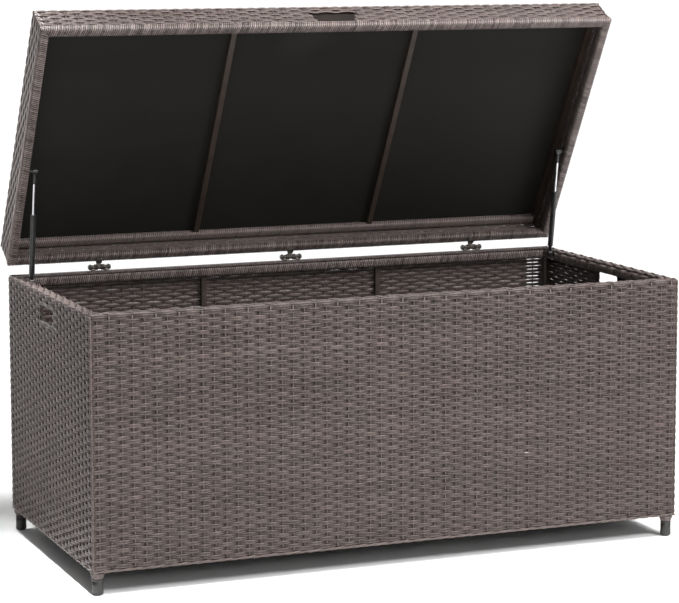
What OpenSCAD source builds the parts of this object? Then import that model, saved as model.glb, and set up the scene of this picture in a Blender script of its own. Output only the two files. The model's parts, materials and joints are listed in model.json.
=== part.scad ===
// Garden storage box: a woven resin skin on a metal tube frame, with a shallow
// hinged lid on two gas struts. Millimetres, +Z up, +X along the long side,
// +Y to the rear. The lid is drawn open, as it stands on its struts.
// Origin: on the floor, under the middle of the open box's outline.

/* [Body] */
// Outside width of body and lid, left to right
body_w = 1480; // [1200:10:1700]
// Outside depth of the body, front to rear
body_d = 700; // [620:10:800]
// Height of the woven body, without its feet
body_h = 585; // [480:5:700]
// Height of the woven body's bottom edge above the floor
foot_h = 51; // [50:1:60]

/* [Lid] */
// Outside height of the lid
lid_h = 86; // [80:1:120]
// Angle from rims parallel to the open stop, degrees
open_angle = 59.8; // [50:0.1:70]

/* [Weave] */
// Thickness of a woven panel over its stakes
panel_t = 6; // [5:0.5:6]
// Spacing of the stakes the strands are woven round
stake_pitch = 27.2; // [20:0.1:40]
// Outside size of a wrapped frame tube, square
wrap_size = 22; // [20:1:24]

/* [Frame] */
// Outside size of the square frame tubes
tube_size = 16; // [12:1:17]
// Wall of all the frame tubes
tube_wall = 1.2; // [1:0.1:2]
// Outside size of the bare cross tubes and uprights
cross_size = 13; // [12:1:16]
// Distance of cross tubes and uprights from the middle
cross_x = 238; // [150:1:300]

/* [Openings] */
// Width of the hand-hold in each end wall
hand_w = 97; // [85:1:120]
// Height of the hand-hold
hand_h = 40; // [34:1:50]
// Width of the lid's grip slot along its upper side
grip_w = 118; // [100:1:140]
// Width of the grip slot along its lower side
grip_low_w = 88; // [70:1:95]

/* [Hinges] */
// Distance of the two outer hinges from the middle
hinge_x = 509; // [350:1:550]
// Length of one hinge over its three knuckles
hinge_len = 51; // [42:1:60]

/* [Struts] */
// Distance of a strut's line from the outside of the end wall
strut_in = 37.5; // [37.5:0.5:44]
// Distance of the lower stud from the body's rear face
stud_back = 84; // [70:1:100]
// Distance of the upper stud from the hinge line, along the lid
stud_out = 281; // [260:1:300]
// Outside diameter of the strut's cylinder
strut_d = 14; // [13:0.5:15]

/* [Hidden] */
$fn = 64;

// Colours
weave_brown = [0.36, 0.32, 0.29];
wrap_brown = [0.33, 0.29, 0.27];
edge_brown = [0.30, 0.27, 0.25];
tube_brown = [0.24, 0.19, 0.17];
liner_black = [0.07, 0.07, 0.065];
cap_black = [0.13, 0.13, 0.13];
strut_black = [0.05, 0.05, 0.05];
rod_steel = [0.78, 0.78, 0.80];
hinge_grey = [0.36, 0.34, 0.32];
bolt_black = [0.10, 0.10, 0.10];

// Gaps between fixed neighbours, and the radial gap of a pin or a sliding fit
gap = 0.3;
fit_gap = 0.05;

// Body, measured from its own middle, then set back by mid_y
skin_t = 2.4;
stake_w = 5;
edging_h = 8;
arris_r = 2.5;
body_bottom = foot_h;
rim_top = foot_h + body_h;
cover_t = 6;
wrap_top = rim_top - cover_t - gap;
rim_under = wrap_top - wrap_size;
half_w = body_w / 2;
half_d = body_d / 2;
wrap_t = (wrap_size - tube_size) / 2;
wrap_corner = 2.5;
inside = panel_t + gap;
post_r = 11;
post_in = inside + post_r + 0.7;
rail_top = body_bottom + 2 + tube_size;
floor_t = 4;

// Feet
cap_r = 13.2;
cap_bottom = 2;
cap_top = foot_h - 14;
cap_floor = 8;
glide_r = 8.5;
glide_stem_r = 4;
glide_stem_top = cap_bottom + 26;
foot_wrap_r = 17;

// Lid, measured from the hinge line with both rims level: y forward is negative
hinge_in = 8;
hinge_up = 8;
lid_gap = 10;
lid_back = -hinge_in;
lid_front = hinge_in - body_d;
lid_d = lid_back - lid_front;
lid_mid = (lid_back + lid_front) / 2;
lid_rim_top = lid_gap + wrap_size;
lid_top = lid_gap + lid_h;
liner_t = 1.5;
liner_top = lid_top - panel_t - gap;
lid_frame_top = liner_top - liner_t - gap;
lid_frame_bottom = lid_frame_top - tube_size;

// Outline of the open lid behind the body, to set the origin under its middle
lid_reach = lid_top * sin(open_angle) + lid_back * cos(open_angle) - hinge_in;
mid_y = -lid_reach / 2;
hinge_y = mid_y + half_d - hinge_in;
hinge_z = rim_top + hinge_up;

// Hand-holds and grip slot
trim_side = 14;
trim_edge = 3;
trim_proud = 1;
hand_top = rim_under - gap - trim_edge;
hand_r = 9;
grip_low = lid_rim_top + 1;
grip_high = lid_frame_bottom - 1;
grip_r = 8;

// Hinges
knuckle_r = 7.5;
knuckle_gap = 0.5;
block_half = 6;
knuckle_len = (hinge_len - 2 * knuckle_gap) / 3;
hinge_pin_r = 3;
bolt_head_r = 5.5;
bolt_head_t = 2.5;
leaf_t = 3;
leaf_depth = 22;

// Struts: both stud lines in the plane across the box, from the hinge line
strut_x = half_w - strut_in;
stud_low_y = hinge_in - stud_back;
stud_low_z = -hinge_up - 8.5;
stud_up_z = 25;
stud_r = 4;
eye_r = 7;
eye_w = 10;
upper_y = -stud_out * cos(open_angle) + stud_up_z * sin(open_angle);
upper_z = stud_out * sin(open_angle) + stud_up_z * cos(open_angle);
strut_len = norm([upper_y - stud_low_y, upper_z - stud_low_z]);
strut_lean = atan2(upper_y - stud_low_y, upper_z - stud_low_z);
rod_shown = 108;
rod_r = 3.5;
cylinder_bottom = 20;
cylinder_top = strut_len - rod_shown;
cylinder_wall = 1.5;
cylinder_end_t = 4;
guide_t = 6;
piston_bottom = cylinder_top - 71.5;
piston_t = 8;
rod_end = strut_len - 30;
eye_neck_r = 4.5;
stud_plate_t = 1.5;
stud_plate_w = 14;
stud_plate_l = 20;
stud_head_t = 2;
body_face_x = half_w - panel_t - gap - wrap_size;
lid_face_x = half_w - wrap_size;

// ---- shapes shared by several pieces ----

module round_rect(w, h, r) {
    square([w - 2 * r, h], center = true);
    square([w, h - 2 * r], center = true);
    for (sx = [-1, 1]) {
        for (sy = [-1, 1]) {
            translate([sx * (w / 2 - r), sy * (h / 2 - r)]) circle(r = r);
        }
    }
}

// A bare square tube along Z, from z = 0
module square_tube(size, len) {
    linear_extrude(len) difference() {
        square(size, center = true);
        square(size - 2 * tube_wall, center = true);
    }
}

// One side of a rectangular ring of bars, cut at 45 degrees at both ends.
// The bar lies along X with its outer face at y = 0 and its inner face at y = size.
module mitre(len, size, high) {
    cut = gap / 2;
    linear_extrude(high) polygon([
        [-len / 2 + cut, 0],
        [len / 2 - cut, 0],
        [len / 2 - size - cut, size],
        [-len / 2 + size + cut, size]
    ]);
}

module mitred_tube(len, size, wall) {
    intersection() {
        translate([-len / 2, size / 2, size / 2]) rotate([90, 0, 90])
            linear_extrude(len) difference() {
                square(size, center = true);
                square(size - 2 * wall, center = true);
            }
        mitre(len, size, size);
    }
}

module mitred_sleeve(len) {
    intersection() {
        translate([-len / 2, wrap_size / 2, wrap_size / 2]) rotate([90, 0, 90])
            linear_extrude(len) difference() {
                round_rect(wrap_size, wrap_size, wrap_corner);
                square(tube_size + 2 * fit_gap, center = true);
            }
        mitre(len, wrap_size, wrap_size);
    }
}

// Sets a shape drawn as the front side of a ring on one of the ring's four sides
module on_side(side, w, d) {
    if (side == "front") translate([0, -d / 2, 0]) children();
    if (side == "rear") translate([0, d / 2, 0]) rotate([0, 0, 180]) children();
    if (side == "left") translate([-w / 2, 0, 0]) rotate([0, 0, -90]) children();
    if (side == "right") translate([w / 2, 0, 0]) rotate([0, 0, 90]) children();
}

// Outline across a woven panel: a thin skin with a stake every pitch
module woven_outline(len) {
    count = floor(len / stake_pitch);
    pitch = len / count;
    low = (panel_t - skin_t) / 2;
    high = low + skin_t;
    outer = [for (i = [0:count - 1]) each [
        [-len / 2 + pitch * (i + 0.5) - stake_w / 2, low],
        [-len / 2 + pitch * (i + 0.5) - stake_w / 2, 0],
        [-len / 2 + pitch * (i + 0.5) + stake_w / 2, 0],
        [-len / 2 + pitch * (i + 0.5) + stake_w / 2, low]
    ]];
    inner = [for (i = [count - 1:-1:0]) each [
        [-len / 2 + pitch * (i + 0.5) + stake_w / 2, high],
        [-len / 2 + pitch * (i + 0.5) + stake_w / 2, panel_t],
        [-len / 2 + pitch * (i + 0.5) - stake_w / 2, panel_t],
        [-len / 2 + pitch * (i + 0.5) - stake_w / 2, high]
    ]];
    polygon(concat(
        [[-len / 2, low]], outer, [[len / 2, low], [len / 2, high]], inner,
        [[-len / 2, high]]
    ));
}

// A wall panel standing on z = 0, its outer face at y = 0
module woven_wall(len, tall) {
    linear_extrude(tall) woven_outline(len);
}

module tube_ring(w, d) {
    for (side = ["front", "rear"]) {
        on_side(side, w, d) mitred_tube(w, tube_size, tube_wall);
    }
    for (side = ["left", "right"]) {
        on_side(side, w, d) mitred_tube(d, tube_size, tube_wall);
    }
}

module sleeve_ring(w, d) {
    for (side = ["front", "rear"]) {
        on_side(side, w, d) mitred_sleeve(w);
    }
    for (side = ["left", "right"]) {
        on_side(side, w, d) mitred_sleeve(d);
    }
}

module body_place() {
    translate([0, mid_y, 0]) children();
}

module lid_place() {
    translate([0, hinge_y, hinge_z]) rotate([-open_angle, 0, 0]) children();
}

module lid_ring_place() {
    lid_place() translate([0, lid_mid, 0]) children();
}

module at_corners(w, d) {
    for (sx = [-1, 1]) {
        for (sy = [-1, 1]) {
            translate([sx * w, sy * d, 0]) children();
        }
    }
}

module at_hinges() {
    for (x = [-hinge_x, 0, hinge_x]) {
        translate([x, 0, 0]) children();
    }
}

// ---- body frame ----

module top_rails() {
    w = body_w - 2 * (inside + wrap_t);
    d = body_d - 2 * (inside + wrap_t);
    color(tube_brown) body_place() translate([0, 0, rim_under + wrap_t]) tube_ring(w, d);
}

module rim_wrap() {
    w = body_w - 2 * inside;
    d = body_d - 2 * inside;
    color(wrap_brown) body_place() translate([0, 0, rim_under]) sleeve_ring(w, d);
}

// The woven strands folded over the rim, on top of the winding and the panels
module rim_cover() {
    wide = inside + wrap_size;
    color(weave_brown) body_place() translate([0, 0, rim_top - cover_t]) {
        for (side = ["front", "rear"]) {
            on_side(side, body_w, body_d) mitre(body_w, wide, cover_t);
        }
        for (side = ["left", "right"]) {
            on_side(side, body_w, body_d) mitre(body_d, wide, cover_t);
        }
    }
}

module corner_posts() {
    color(tube_brown) body_place()
        at_corners(half_w - post_in, half_d - post_in)
        translate([0, 0, cap_bottom + cap_floor + gap]) difference() {
            cylinder(r = post_r, h = rim_under - cap_bottom - cap_floor - 2 * gap);
            translate([0, 0, -1]) cylinder(r = post_r - tube_wall, h = rim_top);
        }
}

module bottom_rails() {
    long = body_w - 2 * (post_in + post_r + gap);
    short = body_d - 2 * (post_in + post_r + gap);
    color(tube_brown) body_place() translate([0, 0, body_bottom + 2 + tube_size / 2]) {
        for (sy = [-1, 1]) {
            translate([-long / 2, sy * (half_d - inside - tube_size / 2), 0])
                rotate([90, 0, 90]) square_tube(tube_size, long);
        }
        for (sx = [-1, 1]) {
            translate([sx * (half_w - inside - tube_size / 2), short / 2, 0])
                rotate([90, 0, 0]) square_tube(tube_size, short);
        }
    }
}

module floor_crossbars() {
    len = body_d - 2 * (inside + tube_size + gap);
    color(tube_brown) body_place()
        for (sx = [-1, 1]) {
            translate([sx * cross_x, len / 2, body_bottom + 2 + tube_size / 2])
                rotate([90, 0, 0]) square_tube(tube_size, len);
        }
}

module floor_panel() {
    w = body_w - 2 * (inside + 1);
    d = body_d - 2 * (post_in + post_r + gap);
    color(liner_black) body_place() translate([-w / 2, -d / 2, rail_top + gap])
        cube([w, d, floor_t]);
}

module rear_uprights() {
    tall = rim_under - rail_top - 2 * gap;
    color(tube_brown) body_place()
        for (sx = [-1, 1]) {
            translate([sx * cross_x, half_d - inside - cross_size / 2, rail_top + gap])
                square_tube(cross_size, tall);
        }
}

// ---- body skin ----

module wall_weave(side, len) {
    tall = wrap_top - body_bottom - edging_h - gap;
    color(weave_brown) body_place()
        on_side(side, body_w, body_d)
        translate([0, 0, body_bottom + edging_h + gap])
        woven_wall(len - 2 * (panel_t + gap), tall);
}

module front_weave() {
    wall_weave("front", body_w);
}

module rear_weave() {
    wall_weave("rear", body_w);
}

module end_weave(side) {
    difference() {
        wall_weave(side, body_d);
        color(weave_brown) body_place() on_side(side, body_w, body_d)
            translate([0, panel_t / 2, hand_top - hand_h / 2])
            rotate([90, 0, 0]) linear_extrude(4 * panel_t, center = true)
            round_rect(hand_w + 2 * (trim_side + gap), hand_h + 2 * (trim_edge + gap), hand_r);
    }
}

module left_weave() {
    end_weave("left");
}

module right_weave() {
    end_weave("right");
}

module hand_hold_trims() {
    color(wrap_brown) body_place()
        for (side = ["left", "right"]) {
            on_side(side, body_w, body_d)
                translate([0, panel_t + trim_proud, hand_top - hand_h / 2])
                rotate([90, 0, 0]) linear_extrude(panel_t + trim_proud) difference() {
                    round_rect(hand_w + 2 * trim_side, hand_h + 2 * trim_edge, hand_r);
                    round_rect(hand_w, hand_h, hand_r);
                }
        }
}

module corner_strip(tall) {
    linear_extrude(tall) union() {
        square([panel_t, panel_t - arris_r]);
        square([panel_t - arris_r, panel_t]);
        translate([panel_t - arris_r, panel_t - arris_r]) circle(r = arris_r);
    }
}

// A strip up each outer corner, its rounded arris outwards
module corner_strips(w, d, tall) {
    for (a = [0:3]) {
        turn = a * 90;
        sx = (a == 0 || a == 3) ? 1 : -1;
        sy = (a == 0 || a == 1) ? 1 : -1;
        translate([sx * (w / 2 - panel_t), sy * (d / 2 - panel_t), 0])
            rotate([0, 0, turn]) corner_strip(tall);
    }
}

module corner_edging() {
    color(edge_brown) body_place() translate([0, 0, body_bottom])
        corner_strips(body_w, body_d, wrap_top - body_bottom);
}

module edge_strip(len, tall) {
    translate([-len / 2, 0, 0]) cube([len, panel_t, tall]);
}

module bottom_edging() {
    color(edge_brown) body_place() translate([0, 0, body_bottom]) {
        for (side = ["front", "rear"]) {
            on_side(side, body_w, body_d) edge_strip(body_w - 2 * (panel_t + gap), edging_h);
        }
        for (side = ["left", "right"]) {
            on_side(side, body_w, body_d) edge_strip(body_d - 2 * (panel_t + gap), edging_h);
        }
    }
}

// ---- feet ----

module foot_wraps() {
    tall = body_bottom - cap_top - 2 * gap;
    color(wrap_brown) body_place()
        at_corners(half_w - post_in, half_d - post_in)
        translate([0, 0, cap_top + gap]) difference() {
            cylinder(r1 = cap_r - 0.4, r2 = foot_wrap_r, h = tall);
            translate([0, 0, -1]) cylinder(r = post_r + fit_gap, h = tall + 2);
        }
}

module foot_caps() {
    color(cap_black) body_place()
        at_corners(half_w - post_in, half_d - post_in)
        translate([0, 0, cap_bottom]) difference() {
            cylinder(r = cap_r, h = cap_top - cap_bottom);
            translate([0, 0, cap_floor]) cylinder(r = post_r + fit_gap, h = cap_top);
            translate([0, 0, -1]) cylinder(r = glide_stem_r + fit_gap, h = cap_top);
        }
}

module glide(sx, sy) {
    color(bolt_black) body_place()
        translate([sx * (half_w - post_in), sy * (half_d - post_in), 0]) {
            cylinder(r = glide_r, h = cap_bottom - gap);
            cylinder(r = glide_stem_r, h = glide_stem_top);
        }
}

// ---- hinges ----

// Sets an outline drawn across the box, y then z, as a piece along X about the middle
module along_x(len) {
    translate([-len / 2, 0, 0]) rotate([90, 0, 90]) linear_extrude(len) children();
}

module hinge_body_knuckles() {
    color(hinge_grey) translate([0, hinge_y, hinge_z]) at_hinges()
        for (sx = [-1, 1]) {
            translate([sx * (knuckle_len + knuckle_gap), 0, 0])
                along_x(knuckle_len) difference() {
                    union() {
                        circle(r = knuckle_r);
                        translate([-block_half, gap - hinge_up])
                            square([2 * block_half, hinge_up]);
                    }
                    circle(r = hinge_pin_r + fit_gap);
                }
        }
}

module hinge_pins() {
    color(bolt_black) translate([0, hinge_y, hinge_z]) at_hinges() {
        rotate([0, 90, 0])
            cylinder(r = hinge_pin_r, h = hinge_len + 2 * gap + bolt_head_t, center = true);
        for (sx = [-1, 1]) {
            translate([sx * (hinge_len / 2 + gap + bolt_head_t / 2), 0, 0])
                rotate([0, 90, 0]) cylinder(r = bolt_head_r, h = bolt_head_t, center = true);
        }
    }
}

module hinge_lid_knuckles() {
    color(hinge_grey) lid_place() at_hinges()
        along_x(knuckle_len - knuckle_gap) difference() {
            union() {
                circle(r = knuckle_r);
                translate([-leaf_depth, lid_gap - leaf_t - gap]) square([leaf_depth, leaf_t]);
                translate([-block_half, 0]) square([block_half + 1, lid_gap - gap]);
            }
            circle(r = hinge_pin_r + fit_gap);
        }
}

// ---- gas struts ----

// The strut's own line: z = 0 at the lower stud, z = strut_len at the upper one
module strut_place(side) {
    translate([side * strut_x, hinge_y + stud_low_y, hinge_z + stud_low_z])
        rotate([-strut_lean, 0, 0]) children();
}

module strut_cylinder(side) {
    color(strut_black) strut_place(side) difference() {
        translate([0, 0, cylinder_bottom])
            cylinder(d = strut_d, h = cylinder_top - cylinder_bottom);
        translate([0, 0, cylinder_bottom + cylinder_end_t])
            cylinder(r = strut_d / 2 - cylinder_wall,
                h = cylinder_top - guide_t - cylinder_bottom - cylinder_end_t);
        translate([0, 0, cylinder_top - 2 * guide_t])
            cylinder(r = rod_r + fit_gap, h = 3 * guide_t);
    }
}

module strut_rod(side) {
    color(rod_steel) strut_place(side) {
        translate([0, 0, piston_bottom])
            cylinder(r = strut_d / 2 - cylinder_wall - fit_gap, h = piston_t);
        translate([0, 0, piston_bottom]) cylinder(r = rod_r, h = rod_end - piston_bottom);
    }
}

module strut_upper_eye(side) {
    color(strut_black) strut_place(side) difference() {
        union() {
            translate([0, 0, strut_len]) rotate([0, 90, 0])
                cylinder(r = eye_r, h = eye_w, center = true);
            translate([0, 0, rod_end + gap])
                cylinder(r = eye_neck_r, h = strut_len - rod_end - eye_neck_r);
        }
        translate([0, 0, strut_len]) rotate([0, 90, 0])
            cylinder(r = stud_r + fit_gap, h = 2 * eye_w, center = true);
    }
}

module strut_lower_eye(side) {
    color(strut_black) strut_place(side) difference() {
        union() {
            rotate([0, 90, 0]) cylinder(r = eye_r, h = eye_w, center = true);
            cylinder(r = eye_neck_r, h = cylinder_bottom - gap);
        }
        rotate([0, 90, 0]) cylinder(r = stud_r + fit_gap, h = 2 * eye_w, center = true);
    }
}

// A stud with its plate, standing inwards from a wall's inner face at x = face
module stud(side, face, len, plate_w) {
    translate([side * (face - gap), 0, 0]) rotate([0, -90 * side, 0]) {
        translate([-plate_w / 2, -stud_plate_l / 2, 0])
            cube([plate_w, stud_plate_l, stud_plate_t]);
        cylinder(r = stud_r, h = len);
    }
}

// The lower stud stops beside the eye, because the eye drifts a little in mid travel
module strut_lower_studs() {
    reach = body_face_x - gap - strut_x - eye_w / 2 - gap;
    color(bolt_black)
        for (side = [-1, 1]) {
            translate([0, hinge_y + stud_low_y, hinge_z + stud_low_z])
                stud(side, body_face_x, reach, stud_plate_w);
        }
}

module strut_upper_studs() {
    reach = lid_face_x - gap - strut_x + eye_w / 2;
    color(bolt_black) lid_place()
        for (side = [-1, 1]) {
            translate([0, -stud_out, stud_up_z]) {
                stud(side, lid_face_x, reach + gap, stud_plate_w);
                translate([side * (lid_face_x - gap - reach - gap), 0, 0])
                    rotate([0, -90 * side, 0]) cylinder(r = stud_r + 2, h = stud_head_t);
            }
        }
}

// ---- lid frame ----

module lid_rim_rails() {
    color(tube_brown) lid_ring_place() translate([0, 0, lid_gap + wrap_t])
        tube_ring(body_w - 2 * wrap_t, lid_d - 2 * wrap_t);
}

module lid_rim_wrap() {
    color(wrap_brown) lid_ring_place() translate([0, 0, lid_gap]) sleeve_ring(body_w, lid_d);
}

module lid_top_frame() {
    color(tube_brown) lid_ring_place() translate([0, 0, lid_frame_bottom])
        tube_ring(body_w - 2 * (inside + wrap_t), lid_d - 2 * (inside + wrap_t));
}

module lid_rear_tube_wrap() {
    d = lid_d - 2 * (inside + wrap_t);
    len = body_w - 2 * (inside + wrap_t + tube_size + gap);
    thick = liner_t + 0.5;
    color(wrap_brown) lid_ring_place()
        translate([-len / 2, d / 2 - tube_size / 2, lid_frame_bottom + tube_size / 2])
        rotate([90, 0, 90]) linear_extrude(len) difference() {
            translate([0, -thick / 2])
                square([tube_size + 2 * wrap_t, tube_size + thick], center = true);
            square(tube_size + 2 * fit_gap, center = true);
        }
}

module lid_corner_posts() {
    tall = lid_frame_bottom - lid_rim_top - 2 * gap;
    color(tube_brown) lid_ring_place()
        at_corners(half_w - inside - wrap_t - tube_size / 2, lid_d / 2 - inside - wrap_t - tube_size / 2)
        translate([0, 0, lid_rim_top + gap]) square_tube(tube_size, tall);
}

module lid_cross_tubes() {
    len = lid_d - 2 * (inside + wrap_t + tube_size + wrap_t + gap);
    color(tube_brown) lid_ring_place()
        for (sx = [-1, 1]) {
            translate([sx * cross_x, len / 2, lid_frame_top - cross_size / 2])
                rotate([90, 0, 0]) square_tube(cross_size, len);
        }
}

module lid_liner() {
    w = body_w - 2 * (inside + 1);
    d = lid_d - 2 * (inside + 1);
    color(liner_black) lid_ring_place() translate([-w / 2, -d / 2, liner_top - liner_t])
        cube([w, d, liner_t]);
}

// ---- lid skin ----

module lid_wall(side, len) {
    tall = lid_top - lid_rim_top - panel_t - 2 * gap;
    lid_ring_place() on_side(side, body_w, lid_d)
        translate([0, 0, lid_rim_top + gap]) woven_wall(len - 2 * (panel_t + gap), tall);
}

module lid_top_weave() {
    len = body_w - 2 * (panel_t + gap);
    deep = lid_d - 2 * (panel_t + gap);
    color(weave_brown) lid_ring_place() translate([0, deep / 2, lid_top - panel_t])
        rotate([90, 0, 0]) woven_wall(len, deep);
}

module grip_hole() {
    half_low = grip_low_w / 2;
    half_high = grip_w / 2;
    tall = grip_high - grip_low;
    translate([0, panel_t / 2, grip_low]) rotate([90, 0, 0])
        linear_extrude(4 * panel_t, center = true) {
            polygon([
                [-half_low + grip_r, 0],
                [half_low - grip_r, 0],
                [half_low, grip_r],
                [half_high, tall],
                [-half_high, tall],
                [-half_low, grip_r]
            ]);
            for (sx = [-1, 1]) {
                translate([sx * (half_low - grip_r), grip_r]) circle(r = grip_r);
            }
        }
}

module lid_front_weave() {
    color(weave_brown) difference() {
        lid_wall("front", body_w);
        lid_ring_place() on_side("front", body_w, lid_d) grip_hole();
    }
}

module lid_rear_weave() {
    color(weave_brown) lid_wall("rear", body_w);
}

module lid_left_weave() {
    color(weave_brown) lid_wall("left", lid_d);
}

module lid_right_weave() {
    color(weave_brown) lid_wall("right", lid_d);
}

module lid_corner_edging() {
    color(edge_brown) lid_ring_place() translate([0, 0, lid_rim_top + gap])
        corner_strips(body_w, lid_d, lid_top - lid_rim_top - panel_t - 2 * gap);
}

module lid_top_edging() {
    color(edge_brown) lid_ring_place() translate([0, 0, lid_top - panel_t]) {
        for (side = ["front", "rear"]) {
            on_side(side, body_w, lid_d) mitre(body_w, panel_t, panel_t);
        }
        for (side = ["left", "right"]) {
            on_side(side, body_w, lid_d) mitre(lid_d, panel_t, panel_t);
        }
    }
}

// ---- the nodes ----

top_rails();
rim_wrap();
rim_cover();
corner_posts();
bottom_rails();
floor_crossbars();
floor_panel();
rear_uprights();
front_weave();
rear_weave();
left_weave();
right_weave();
corner_edging();
bottom_edging();
hand_hold_trims();
foot_wraps();
foot_caps();
hinge_body_knuckles();
hinge_pins();
strut_lower_studs();
glide(-1, -1);  // glide_front_left
glide(1, -1);  // glide_front_right
glide(-1, 1);  // glide_rear_left
glide(1, 1);  // glide_rear_right
strut_cylinder(-1);  // left_strut_cylinder
strut_lower_eye(-1);  // left_strut_lower_eye
strut_rod(-1);  // left_strut_rod
strut_upper_eye(-1);  // left_strut_upper_eye
strut_cylinder(1);  // right_strut_cylinder
strut_lower_eye(1);  // right_strut_lower_eye
strut_rod(1);  // right_strut_rod
strut_upper_eye(1);  // right_strut_upper_eye
lid_rim_rails();
lid_rim_wrap();
lid_top_frame();
lid_rear_tube_wrap();
lid_corner_posts();
lid_cross_tubes();
lid_liner();
lid_top_weave();
lid_front_weave();
lid_rear_weave();
lid_left_weave();
lid_right_weave();
lid_corner_edging();
lid_top_edging();
hinge_lid_knuckles();
strut_upper_studs();
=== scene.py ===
import json
import math

import bpy
import numpy as np
from mathutils import Matrix, Vector


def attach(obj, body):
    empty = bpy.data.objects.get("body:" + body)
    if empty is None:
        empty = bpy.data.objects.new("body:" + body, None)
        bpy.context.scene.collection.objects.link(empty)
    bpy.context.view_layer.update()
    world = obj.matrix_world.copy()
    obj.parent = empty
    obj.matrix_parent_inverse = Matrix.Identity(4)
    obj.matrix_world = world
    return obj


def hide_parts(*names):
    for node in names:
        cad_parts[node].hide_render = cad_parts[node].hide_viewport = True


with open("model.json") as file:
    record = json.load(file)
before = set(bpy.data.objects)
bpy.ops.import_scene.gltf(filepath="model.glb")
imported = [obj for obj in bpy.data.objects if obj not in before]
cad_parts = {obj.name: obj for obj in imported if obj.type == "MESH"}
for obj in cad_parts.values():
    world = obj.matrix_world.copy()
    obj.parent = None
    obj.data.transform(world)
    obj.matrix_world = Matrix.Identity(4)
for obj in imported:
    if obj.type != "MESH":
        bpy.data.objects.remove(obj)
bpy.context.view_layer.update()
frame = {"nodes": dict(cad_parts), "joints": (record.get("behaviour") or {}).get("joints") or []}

scene = bpy.context.scene
rng = np.random.default_rng(58)

# ---- sizes, in metres, as the CAD source has them ----

PANEL = 0.006           # thickness of a woven panel
STAKE_PITCH = 0.0272    # spacing of the stakes
ROW_PITCH = 0.009       # spacing of the strands woven round them
STRAND_H = 0.0096       # width of a strand, flat side out
STRAND_T = 0.0024       # thickness of a strand
SWING = 0.0026          # how far a strand bends off the panel's middle plane
STAKE_W = 0.0036        # width of a stake
STAKE_T = 0.0032        # its most thickness, where the weave is loose
WRAP_PITCH = 0.0052     # spacing of the turns of a winding
WRAP_SIZE = 0.022       # outside size of a wound square tube
GAP = 0.0003            # clearance between neighbours
SIDES = ("front", "rear", "left", "right")

# ---- the lid's own frame: the hinge line is its origin, both rims level ----

joints = {j["name"]: j for j in frame["joints"]}
HINGE = np.array(joints["lid_hinge"]["pos_m"], float)


def node_points(node):
    """A CAD node's points, at rest."""
    mesh = frame["nodes"][node].data
    out = np.zeros(len(mesh.vertices) * 3, np.float32)
    mesh.vertices.foreach_get("co", out)
    return out.reshape(-1, 3).astype(float)


# The liner is a flat sheet, so the long way of its outline is the lid's own fore and aft
liner_points = node_points("lid_liner")[:, 1:]
liner_axes = np.linalg.svd(liner_points - liner_points.mean(0), full_matrices=False)[2]
fore = liner_axes[0] if liner_axes[0][1] > 0 else -liner_axes[0]
OPEN = math.atan2(fore[1], -fore[0])


def body_place(p):
    """The body's points are made where they stand."""
    return p


def lid_place(p):
    """Moves points from the lid's own frame to where the open lid stands."""
    c, s = math.cos(OPEN), math.sin(OPEN)
    y, z = p[..., 1], p[..., 2]
    out = np.empty_like(p)
    out[..., 0] = p[..., 0] + HINGE[0]
    out[..., 1] = y * c + z * s + HINGE[1]
    out[..., 2] = -y * s + z * c + HINGE[2]
    return out


def lid_unplace(p):
    """Moves points of the open lid back to the lid's own frame."""
    c, s = math.cos(OPEN), math.sin(OPEN)
    y, z = p[..., 1] - HINGE[1], p[..., 2] - HINGE[2]
    out = np.empty_like(p)
    out[..., 0] = p[..., 0] - HINGE[0]
    out[..., 1] = y * c - z * s
    out[..., 2] = y * s + z * c
    return out


def body_box(node):
    """The corners of a node's box."""
    p = node_points(node)
    return p.min(0), p.max(0)


def lid_box(node):
    """The corners of a lid node's box, in the lid's own frame."""
    p = lid_unplace(node_points(node))
    return p.min(0), p.max(0)


def side_length(side, low, high):
    """How long one side of the box low to high is."""
    return (high - low)[0 if side in ("front", "rear") else 1]


# ---- mesh building ----

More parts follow.
